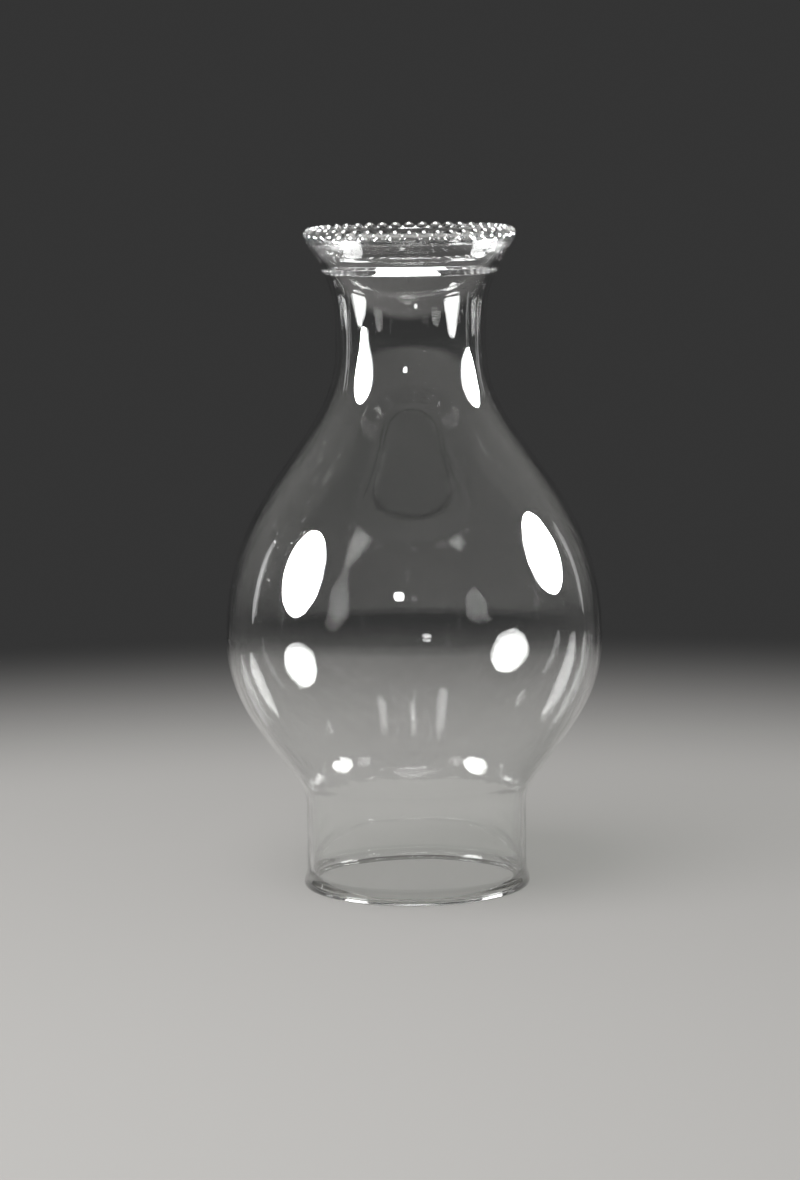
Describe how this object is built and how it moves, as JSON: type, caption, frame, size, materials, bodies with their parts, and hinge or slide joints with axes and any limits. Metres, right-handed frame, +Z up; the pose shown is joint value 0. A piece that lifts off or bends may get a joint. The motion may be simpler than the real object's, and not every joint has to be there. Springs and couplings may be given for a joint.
{
  "type": "oil lamp chimney",
  "caption": "Clear glass chimney for an oil lamp: a straight fitting collar, a round bulb and a narrow neck that flares to a mouth ringed with pearls.",
  "frame": {"origin": "centre of the foot's rim, on the surface that the chimney stands on", "axes": "+Z up along the axis of the glass, from the foot to the pearled mouth; X and Y are alike, and the glass has no front"},
  "size_m": [0.1238, 0.1238, 0.2166],
  "materials": {
    "clear_glass": "clear, fire-polished, faintly waved"
  },
  "bodies": {
    "root": {"chimney_glass": "clear_glass"}
  },
  "joints": []
}
